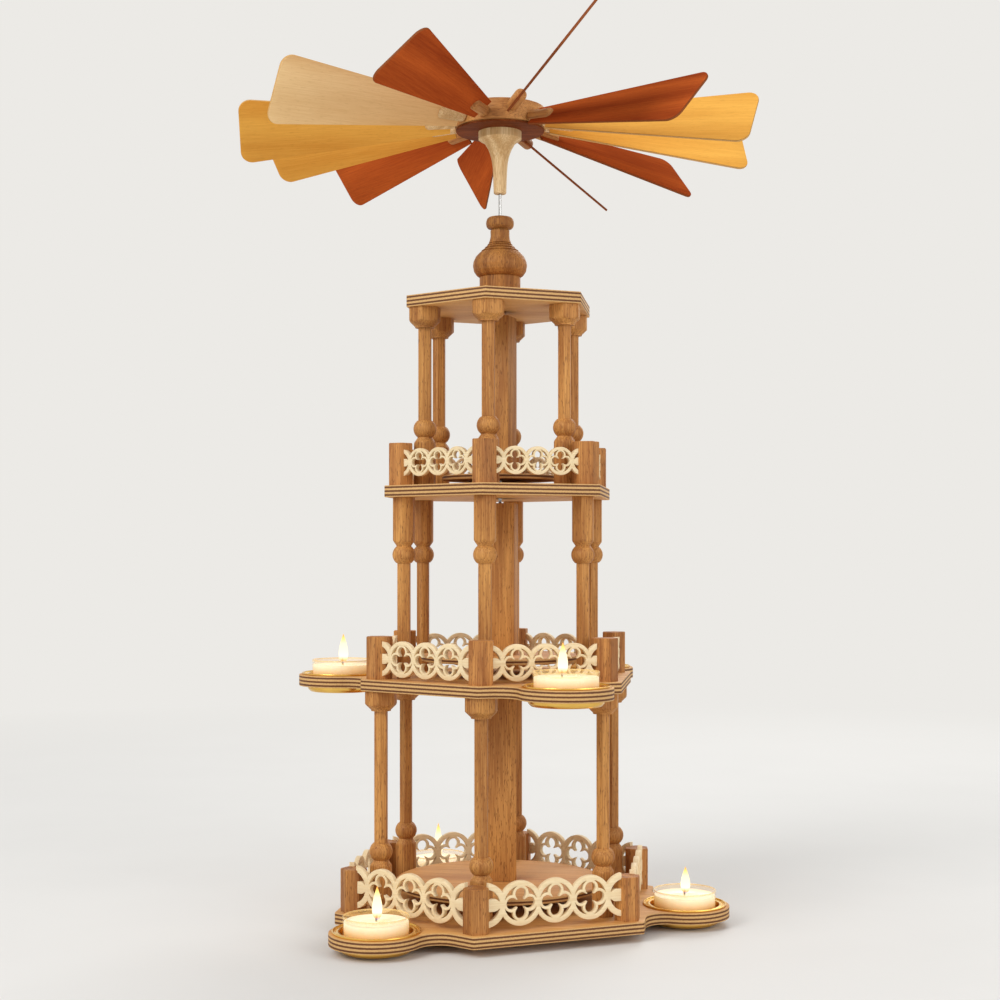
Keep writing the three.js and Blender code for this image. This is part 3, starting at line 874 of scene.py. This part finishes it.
def make_columns():
    for name in STOREYS:
        _, height, _ = measured(f"{name}_column_1")
        levels = hanging_levels(height) if name == "middle" else standing_levels(height)
        mesh = hex_bar_mesh(f"{name}_column", levels)
        for corner in CORNERS:
            node = f"{name}_column_{corner + 1}"
            low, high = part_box(node)
            middle = (low + high) / 2
            where = at(middle.x, middle.y, low.z) @ spun(corner * SIDE)
            placed(f"{name}_column_turned_{corner + 1}", mesh, "frame", "column", where, node)


# Galleries

def ring_row(radius, pitch, count):
    """The outline of a row of overlapping discs."""
    valley = math.degrees(math.acos(pitch / 2 / radius))
    upper = []
    for ring in range(count):
        centre = (ring - (count - 1) / 2) * pitch
        start = 180 if ring == 0 else 180 - valley
        stop = 0 if ring == count - 1 else valley
        upper.extend(arc(centre, 0, radius, start, stop, 16)[0 if ring == 0 else 1:])
    lower = [Vector((-p.x, -p.y)) for p in upper]
    return upper[:-1] + lower[:-1]


def quarter_turns(loop, x):
    """The loop in its four turns about the middle of a ring at x."""
    turns = [Matrix.Rotation(quarter * math.pi / 2, 2) for quarter in range(4)]
    return [[turn @ p + Vector((x, 0)) for p in loop] for turn in turns]


def clover(x, radius):
    """A four-lobed opening with pointed cusps between its lobes."""
    lobe = arc(LOBE_OFFSET * radius, 0, LOBE_RADIUS * radius, -135, 135, 16)
    return sum(quarter_turns(lobe + [Vector((CUSP * radius, CUSP * radius))], x), [])


def spandrels(x, radius):
    """Four curved triangles between the lobes' bands and the ring."""
    opening = RING_OPENING * radius
    reach = LOBE_OFFSET * radius
    band = LOBE_BAND * radius
    across = (opening ** 2 - band ** 2 + reach ** 2) / (2 * reach)
    start = math.degrees(math.acos(across / opening)) + TIP_BACK
    tip = Vector((opening * math.cos(math.radians(start)), opening * math.sin(math.radians(start))))
    tip_angle = math.degrees(math.atan2(tip.y, tip.x - reach))
    cusp = (reach + math.sqrt(2 * band ** 2 - reach ** 2)) / 2
    cusp_angle = math.degrees(math.atan2(cusp, cusp - reach))
    first = arc(reach, 0, band, tip_angle, cusp_angle, 8)
    second = [Vector((p.y, p.x)) for p in reversed(first)]
    outer = arc(0, 0, opening, 90 - start, start, 12)
    return quarter_turns(first + second[1:] + outer[1:-1], x)


def end_openings(x, radius, side):
    """The two openings of a ring that the panel's end cuts through, above and below a knob."""
    opening = END_OPENING * radius
    reach = LOBE_OFFSET * radius
    knob = KNOB_RADIUS * radius
    neck = math.degrees(math.asin(KNOB_NECK / END_OPENING))
    upper = arc(0, 0, opening, 180 - neck, 90, 14) + [Vector((0, knob))] + arc(-reach, 0, knob, 90, 135, 6)
    return [[Vector((x + side * p.x, half * p.y)) for p in upper] for half in (1, -1)]


def panel_mesh(tier, length):
    radius = RING_RADIUS[tier]
    pitch = RING_PITCH[tier]
    count = WHOLE_RINGS + 2
    holes = []
    for ring in range(count):
        x = (ring - (count - 1) / 2) * pitch
        if 0 < ring < count - 1:
            holes.extend(spandrels(x, radius))
            holes.append(clover(x, radius))
        else:
            holes.extend(end_openings(x, radius, 1 if ring else -1))
    name = f"{STOREYS[tier]}_panel"
    return sheet_mesh(name, ring_row(radius, pitch, count), holes, PANEL_THICKNESS, PANEL_EDGE, length / 2)


def make_galleries():
    post_levels = [(0, POST_RADIUS, NO_LIMIT), (POST_HEIGHT - POST_ARRIS, POST_RADIUS, NO_LIMIT),
                   (POST_HEIGHT, POST_RADIUS - POST_ARRIS, NO_LIMIT)]
    standing = spun(math.pi / 2, "X") @ at(0, 0, -PANEL_THICKNESS / 2)
    for tier, name in enumerate(STOREYS):
        node = f"{name}_gallery"
        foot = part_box(node)[0].z
        side = POST_CIRCLE[tier]
        apothem = side * math.cos(SIDE / 2) + PANEL_OFFSET
        post = hex_bar_mesh(f"{name}_post", post_levels)
        panel = panel_mesh(tier, side - 2 * PANEL_END)
        for corner in CORNERS:
            where = station(side, corner * 60, foot) @ spun(math.radians(POST_TURN[tier][corner]))
            placed(f"{name}_gallery_post_{corner + 1}", post, "frame", "post", where, node)
            where = station(apothem, corner * 60 + 30, foot + RING_HEIGHT[tier]) @ standing
            placed(f"{name}_gallery_panel_{corner + 1}", panel, "frame", "panel", where, node)


# Candles

def insert_mesh():
    """A pressed brass bowl with a flange and a rolled lip; z = 0 is the arm's underside."""
    top = BOARD_THICKNESS
    floor = -BOWL_DROP
    inner = INSERT_WALL - INSERT_SHEET
    inner_floor = floor + INSERT_SHEET
    outline = [(0, floor), (INSERT_WALL - BOWL_ROUND, floor), (INSERT_WALL, floor + BOWL_ROUND),
               (INSERT_WALL, top)]
    outline += [(FLANGE_RADIUS - inwards * MM, top + above * MM) for inwards, above in FLANGE_PROFILE]
    outline += [(inner, top + INSERT_SHEET), (inner, inner_floor + BOWL_INNER_ROUND),
                (inner - BOWL_INNER_ROUND, inner_floor), (0, inner_floor)]
    return turned_mesh("insert", rounded(outline, INSERT_EASE, 2), 72)


def cup_mesh(radius):
    """A thin cup, open at the top; its inner wall ends in the wax."""
    inner = radius - CUP_WALL
    outline = [(0, 0), (radius - CUP_ROUND, 0), (radius, CUP_ROUND), (radius, CUP_HEIGHT),
               (inner, CUP_HEIGHT), (inner, CUP_HEIGHT - WAX_BELOW_RIM + CUP_IN_WAX)]
    return turned_mesh("tealight_cup", rounded(outline, CUP_EASE, 2), 64)


def wax_mesh(radius):
    """Wax with a raised rim where it wets the cup and a melted pool round the wick."""
    body = radius - CUP_WALL - WAX_GAP
    top = CUP_HEIGHT - WAX_BELOW_RIM
    outline = [(0, WAX_FLOOR), (body - WAX_ROUND, WAX_FLOOR), (body, WAX_FLOOR + WAX_ROUND),
               (body, top + CLIMB_HEIGHT), (body - CLIMB_WIDTH, top)]
    outline += [(reach * MM, top - depth * MM) for reach, depth in POOL_PROFILE]
    return turned_mesh("tealight_wax", rounded(outline, WAX_EASE, 2), 64)


def wick_mesh():
    """A braided wick that leans over towards its tip."""
    strands = 3
    strand_depth = 0.12
    strand_turn = 9
    twist = 2.4
    thinned = 0.35
    count = 10
    steps = 8
    bm = bmesh.new()
    rows = []
    for step in range(steps + 1):
        share = step / steps
        lean = WICK_LEAN * share ** 3
        reach = WICK_RADIUS * (1 - thinned * share ** 4)
        row = []
        for i in range(count):
            angle = 2 * math.pi * i / count + share * twist
            bulge = reach * (1 + strand_depth * math.cos(strands * angle + strand_turn * share))
            spot = (lean + bulge * math.cos(angle), bulge * math.sin(angle), share * WICK_LENGTH)
            row.append(bm.verts.new(spot))
        rows.append(row)
    skin(bm, rows)
    bm.faces.new(rows[0])
    bm.faces.new(rows[-1])
    return finished_mesh("tealight_wick", bm)


def flame_mesh():
    """A drop that is widest a third of the way up and drawn out to a point."""
    lowering = 0.62
    fullness = 0.9
    steps = 22
    outline = [(0, 0)]
    for i in range(1, steps):
        share = i / steps
        swell = math.sin(math.pi * share ** lowering) ** fullness
        outline.append((FLAME_RADIUS * swell, FLAME_HEIGHT * share))
    return turned_mesh("candle_flame", outline + [(0, FLAME_HEIGHT)], 32)


def make_candles():
    cup_radius, _, _ = measured("base_tealight_1")
    insert = insert_mesh()
    cup = cup_mesh(cup_radius)
    wax = wax_mesh(cup_radius)
    wick = wick_mesh()
    flame = flame_mesh()
    for level, board in enumerate(BOARDS):
        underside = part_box(f"{board}_board")[1].z - BOARD_THICKNESS
        for i, normal in enumerate(ARM_NORMALS[level]):
            number = i + 1
            spot = candle_spot(level, normal)
            placed(f"{board}_insert_bowl_{number}", insert, "frame", "brass",
                   at(*spot, underside), f"{board}_insert_{number}")
            node = f"{board}_tealight_{number}"
            foot = at(*spot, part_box(node)[0].z)
            aside = WICK_ASIDE.get(node, (0, 0))
            wick_foot = foot @ at(*aside, CUP_HEIGHT - WAX_BELOW_RIM - WICK_SUNK)
            turn = spun(ARM_TURN * i + BOARD_TURN * level)
            tall = Matrix.Diagonal((1, 1, FLAME_SIZE[level][i], 1))
            flame_foot = wick_foot @ at(FLAME_ASIDE, 0, FLAME_FOOT) @ tall
            placed(f"{board}_tealight_cup_{number}", cup, node, "cup", foot, node)
            placed(f"{board}_tealight_wax_{number}", wax, node, "wax", foot)
            placed(f"{board}_tealight_wick_{number}", wick, node, "wick", wick_foot @ turn)
            placed(f"{board}_tealight_flame_{number}", flame, node, "flame", flame_foot)


# Fixed turnings on the axis

def make_finial():
    """The finial; its outline is radius and height in mm, below, in and above its fine grooves."""
    _, height, bottom = measured("finial")
    lower = [(12.6, 0), (12.6, 14.2), (12.2, 14.6), (13.2, 14.8), (14.6, 15.9), (16.1, 18.2), (16.7, 21.5),
             (16.3, 24.2), (15.0, 27.0), (13.2, 29.0)]
    grooves = []
    for radius, z in ((11.8, 30.4), (9.7, 32.3), (8.1, 34.0), (7.2, 35.3)):
        grooves.extend([(radius + 0.3, z - 0.4), (radius - 0.9, z), (radius - 0.2, z + 0.4)])
    upper = [(6.6, 36.6), (6.1, 38.2), (5.8, 40.0), (5.9, 43.3), (5.1, 43.8), (5.2, 44.1), (7.4, 44.6),
             (8.3, 45.8), (8.6, 47.3), (8.5, 49.0), (8.0, 50.5), (6.9, 51.5), (4.6, 52.0)]
    outline = rounded([(r * MM, z * MM) for r, z in lower + grooves + upper], FINIAL_EASE, 2)
    profile = [(FINIAL_BORE, 0)] + outline + [(FINIAL_BORE, height)]
    mesh = turned_mesh("finial", profile, 72, closed=True)
    placed("finial_turned", mesh, "frame", "finial", at(0, 0, bottom), "finial")


def make_bearing():
    radius, height, bottom = measured("step_bearing")
    outline = [(0, 0), (radius, 0), (radius, height), (radius - BEARING_WALL, height),
               (0, height - BEARING_CUP)]
    mesh = turned_mesh("step_bearing", rounded(outline, BEARING_EASE), 40)
    placed("step_bearing_turned", mesh, "frame", "brass", at(0, 0, bottom), "step_bearing")


# Rotor

def make_rod():
    radius, length, bottom = measured("rotor_rod")
    mesh = turned_mesh("rotor_rod", [(0, 0), (radius, ROD_POINT), (radius, length), (0, length)], 24)
    placed("rotor_rod_steel", mesh, "rotor", "steel", at(0, 0, bottom), "rotor_rod")


def make_turntable(name):
    node = f"{name}_turntable"
    radius, thickness, bottom = measured(node)
    mesh = sheet_mesh(node, circle(radius, 144), [circle(ROD_BORE, 24)], thickness, TURNTABLE_EDGE)
    placed(f"{name}_turntable_disc", mesh, "rotor", "turntable", at(0, 0, bottom), node)


def make_bar(tier, name):
    node = f"{name}_bar"
    _, height, bottom = measured(node)
    half = BAR_WIDTH[tier] / 2
    square = rounded([(-half, -half), (half, -half), (half, half), (-half, half)], BAR_EDGE, closed=True)
    mesh = sheet_mesh(node, square, [circle(ROD_BORE, 24)], height, BAR_END_EDGE)
    where = at(0, 0, bottom) @ spun(math.radians(BAR_TURN[tier]))
    placed(f"{name}_bar_planed", mesh, "rotor", "bar", where, node)


def make_cone():
    """The hub's turned foot; its outline is radius and height in mm."""
    _, height, bottom = measured("hub_cone")
    cone = [(3.9, 0.5), (4.0, 4), (4.2, 10), (4.5, 16), (4.9, 19.5), (5.5, 22.5), (6.4, 25.4), (7.5, 28.0),
            (9.2, 30.9), (11.0, 32.5), (12.6, 33.1), (13.3, 33.7)]
    profile = [(ROD_BORE, 0), (CONE_FOOT, 0)] + [(r * MM, z * MM) for r, z in cone]
    profile += [(profile[-1][0], height), (ROD_BORE, height)]
    mesh = turned_mesh("hub_cone", profile, 72, closed=True)
    placed("hub_cone_turned", mesh, "rotor", "pale", at(0, 0, bottom), "hub_cone")


def make_hub():
    """The hub's disc, and the dark plate under it that a narrow groove sets off."""
    radius, _, bottom = measured("hub_disc")
    where = at(0, 0, bottom)
    groove = radius - HUB_GROOVE_DEPTH
    groove_top = HUB_PLATE + HUB_GROOVE
    rim = [(groove, groove_top), (radius, groove_top), (radius, HUB_THICKNESS), (0, HUB_THICKNESS)]
    outline = [(0, HUB_PLATE), (groove, HUB_PLATE)] + rounded(rim, HUB_EDGE, 4)
    disc = turned_mesh("hub_disc", outline, 96)
    placed("hub_disc_turned", disc, "rotor", "hub", where, "hub_disc")
    outline = [(0, 0), (HUB_PLATE_RADIUS, 0), (HUB_PLATE_RADIUS, HUB_PLATE), (0, HUB_PLATE)]
    plate = turned_mesh("hub_plate", rounded(outline, HUB_PLATE_EDGE), 96)
    placed("hub_plate_turned", plate, "rotor", "hub_plate", where, "hub_disc")


def blade_mesh(name):
    """A blade that widens outwards, with its two outer corners cut round."""
    inner = WING_INNER_CHORD / 2
    outer = WING_OUTER_CHORD / 2
    flare = math.degrees(math.atan2(outer - inner, WING_OUTER - WING_INNER))
    across = outer - WING_CORNER * math.tan(math.radians(90 + flare) / 2)
    round_corner = arc(WING_OUTER - WING_CORNER, across, WING_CORNER, 0, 90 + flare, 10)
    mirrored = [Vector((p.x, -p.y)) for p in reversed(round_corner)]
    outline = mirrored + round_corner + [Vector((WING_INNER, inner)), Vector((WING_INNER, -inner))]
    mesh = sheet_mesh(name, outline, [], WING_THICKNESS, WING_EDGE)
    mesh.transform(at(0, 0, -WING_THICKNESS / 2))
    return mesh


def peg_mesh(name):
    """A peg along X: its tenon in the hub, its shoulder and its slightly tapered end."""
    outline = [(0, TENON_START), (TENON_RADIUS, TENON_START), (TENON_RADIUS, PEG_SHOULDER),
               (PEG_RADIUS, PEG_SHOULDER), (PEG_RADIUS, PEG_END - PEG_TAPER), (PEG_END_RADIUS, PEG_END),
               (0, PEG_END)]
    return turned_mesh(name, rounded(outline, PEG_ROUND), 32, along_x=True)


def make_wings():
    pegs = {tone: peg_mesh(f"wing_peg_{tone}") for tone in PEG_WOODS}
    blades = {tone: blade_mesh(f"wing_blade_{tone}") for tone in PEG_WOODS}
    hinges = {joint["child"]: joint for joint in JOINTS}
    for i, tone in enumerate(WING_TONES_AND_SHADE):
        number = f"{i + 1:02d}"
        node = f"wing_{number}"
        out = Vector(hinges[node]["axis"])
        level = at(*hinges[node]["pos_m"]) @ spun(math.atan2(out.y, out.x)) @ spun(math.asin(-out.z), "Y")
        where = level @ spun(WING_PITCH[i], "X")
        placed(f"wing_blade_{number}", blades[tone], node, f"wing_{tone}", where, node)
        placed(f"wing_peg_{number}", pegs[tone], node, PEG_WOODS[tone], where, node)


# Scene

def make_floor():
    """A pale floor that takes the object's shadow and fades into the backdrop further out."""
    bm = bmesh.new()
    bmesh.ops.create_circle(bm, cap_ends=True, radius=FLOOR_RADIUS, segments=96)
    floor = in_scene("floor", finished_mesh("floor", bm))
    material, tree, surface, place = new_material("floor_paint", {
        "Roughness": 0.9,
        "Specular IOR Level": 0.2,
    })
    speck = mixed(tree, noise(tree, place, 9.0, 2.0), rgb(217, 216, 213), rgb(222, 221, 218))
    feed(tree, surface, {"Base Color": speck})
    fade = mapped(tree, length_of(tree, place), *FLOOR_FADE)
    seen = math_node(tree, "MULTIPLY", fade, add(tree, "LightPath").outputs["Is Camera Ray"])
    backdrop = add(tree, "Emission", {"Color": rgb(*BACKDROP), "Strength": 1.0})
    both = add(tree, "MixShader", {0: seen, 1: surface.outputs[0], 2: backdrop.outputs[0]})
    output = next(node for node in tree.nodes if node.type == "OUTPUT_MATERIAL")
    feed(tree, output, {"Surface": both.outputs[0]})
    floor.data.materials.append(material)


def make_world():
    """Even white light, with the backdrop's tone where the world itself is seen."""
    world = bpy.data.worlds.new("studio")
    bpy.context.scene.world = world
    world.use_nodes = True
    tree = world.node_tree
    tree.nodes.clear()
    path = add(tree, "LightPath").outputs
    direct = math_node(tree, "MAXIMUM", path["Is Camera Ray"], path["Is Glossy Ray"])
    direct = math_node(tree, "MAXIMUM", direct, path["Is Transmission Ray"])
    light = add(tree, "Background", {"Color": (1, 1, 1, 1), "Strength": WORLD_LIGHT})
    shown = add(tree, "Background", {"Color": rgb(*BACKDROP), "Strength": 1.0})
    both = add(tree, "MixShader", {0: direct, 1: light.outputs[0], 2: shown.outputs[0]})
    add(tree, "OutputWorld", {"Surface": both.outputs[0]})


def make_lamp(name, place, size, power):
    """A soft square lamp that looks at the middle of the object."""
    lamp = bpy.data.lights.new(name, "AREA")
    lamp.size = size
    lamp.energy = power
    holder = in_scene(name, lamp)
    holder.location = place
    holder.rotation_euler = (LAMP_AIM - Vector(place)).to_track_quat("-Z", "Y").to_euler()


def make_camera():
    data = bpy.data.cameras.new("camera")
    data.lens = CAMERA_LENS
    data.shift_y = CAMERA_SHIFT
    data.clip_start = 0.01
    data.clip_end = 60
    camera = in_scene("camera", data)
    camera.location = (*polar(CAMERA_DISTANCE, math.degrees(CAMERA_TURN)), CAMERA_HEIGHT)
    camera.rotation_euler = (math.pi / 2, 0, CAMERA_TURN)
    bpy.context.scene.camera = camera


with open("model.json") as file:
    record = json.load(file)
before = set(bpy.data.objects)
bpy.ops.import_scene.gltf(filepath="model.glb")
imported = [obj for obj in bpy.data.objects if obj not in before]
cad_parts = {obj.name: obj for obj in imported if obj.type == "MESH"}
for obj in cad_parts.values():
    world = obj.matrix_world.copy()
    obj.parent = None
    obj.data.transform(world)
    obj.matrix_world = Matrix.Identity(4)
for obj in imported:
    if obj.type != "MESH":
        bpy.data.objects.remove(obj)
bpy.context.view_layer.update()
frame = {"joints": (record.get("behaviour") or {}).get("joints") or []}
JOINTS = frame["joints"]
GROUPS = {"figure": wood_figure(), "tone": wood_tone(), "ply": ply_edge(), "marks": turned_marks()}
MATERIALS = make_materials()

make_camera()
make_boards()
make_columns()
make_galleries()
make_candles()
make_finial()
make_bearing()
make_rod()
for tier, name in enumerate(STOREYS):
    make_turntable(name)
    make_bar(tier, name)
make_cone()
make_hub()
make_wings()
make_floor()
make_world()
for name, (place, size, power) in LAMPS.items():
    make_lamp(name, place, size, power)
bpy.context.scene.view_settings.view_transform = "Standard"
